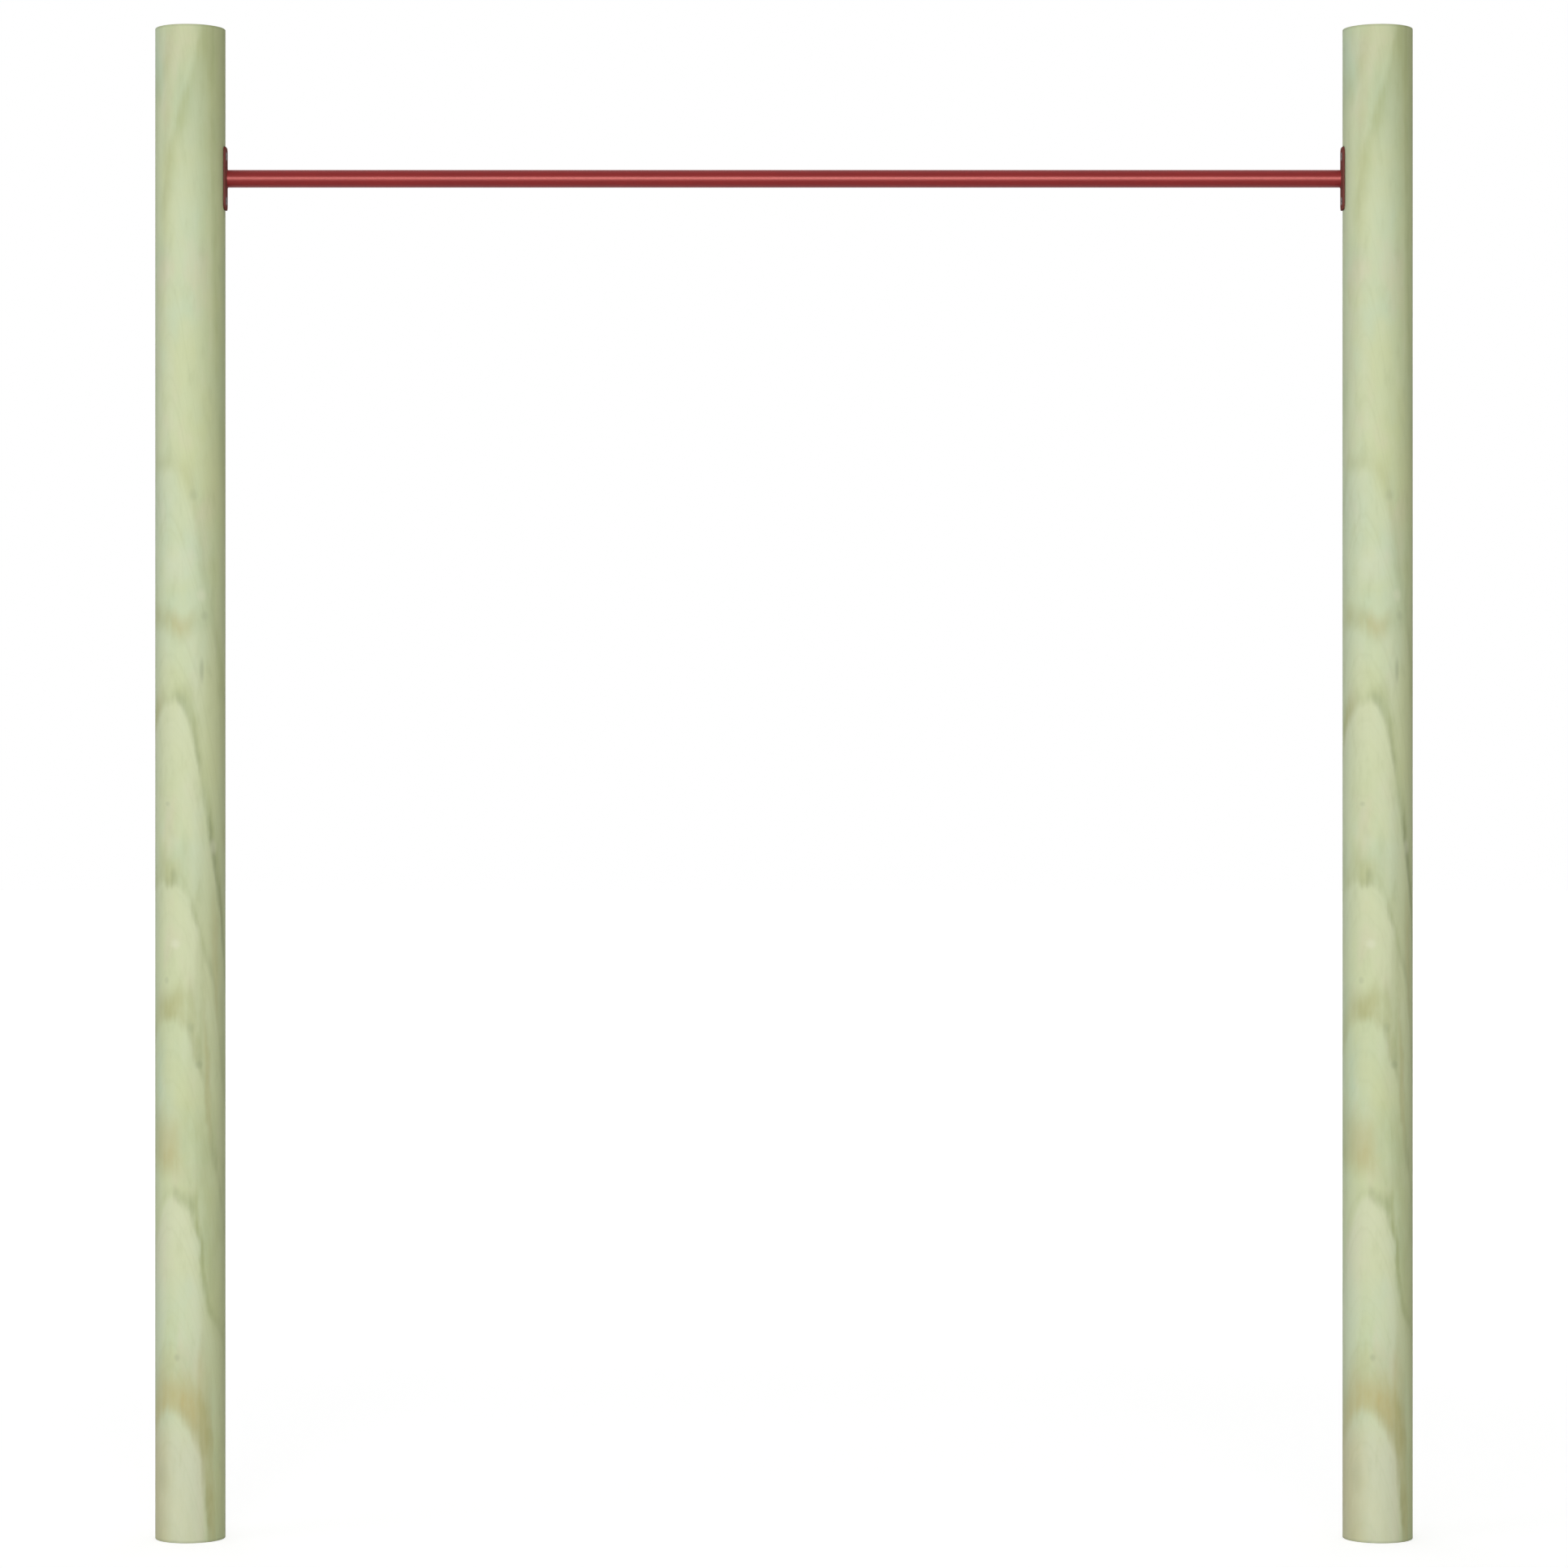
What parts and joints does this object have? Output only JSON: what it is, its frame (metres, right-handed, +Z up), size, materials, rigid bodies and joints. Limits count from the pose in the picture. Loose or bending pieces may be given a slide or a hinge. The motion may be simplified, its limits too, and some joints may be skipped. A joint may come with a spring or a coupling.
{
  "type": "gymnastics turning bar",
  "caption": "Garden gymnastics turning bar: a painted steel tube with welded end flanges, screwed between round treated pine posts that are set in the ground.",
  "frame": {"origin": "midway between the two posts, level with their feet", "axes": "+X along the bar towards the right-hand post, +Y away from someone facing the bar, +Z up"},
  "size_m": [1.8, 0.1, 2.16],
  "materials": {
    "treated_pine": "pressure-treated, pale green, planed round",
    "red_paint": "satin red powder coat",
    "dull_red_paint": "dull dark red coat over the welded flanges",
    "black_screw": "black zinc plated"
  },
  "bodies": {
    "root": {"left_post": "treated_pine", "right_post": "treated_pine", "bar_tube": "red_paint", "left_flange": "dull_red_paint", "right_flange": "dull_red_paint", "left_upper_screw": "black_screw", "left_lower_screw": "black_screw", "right_upper_screw": "black_screw", "right_lower_screw": "black_screw"}
  },
  "joints": []
}
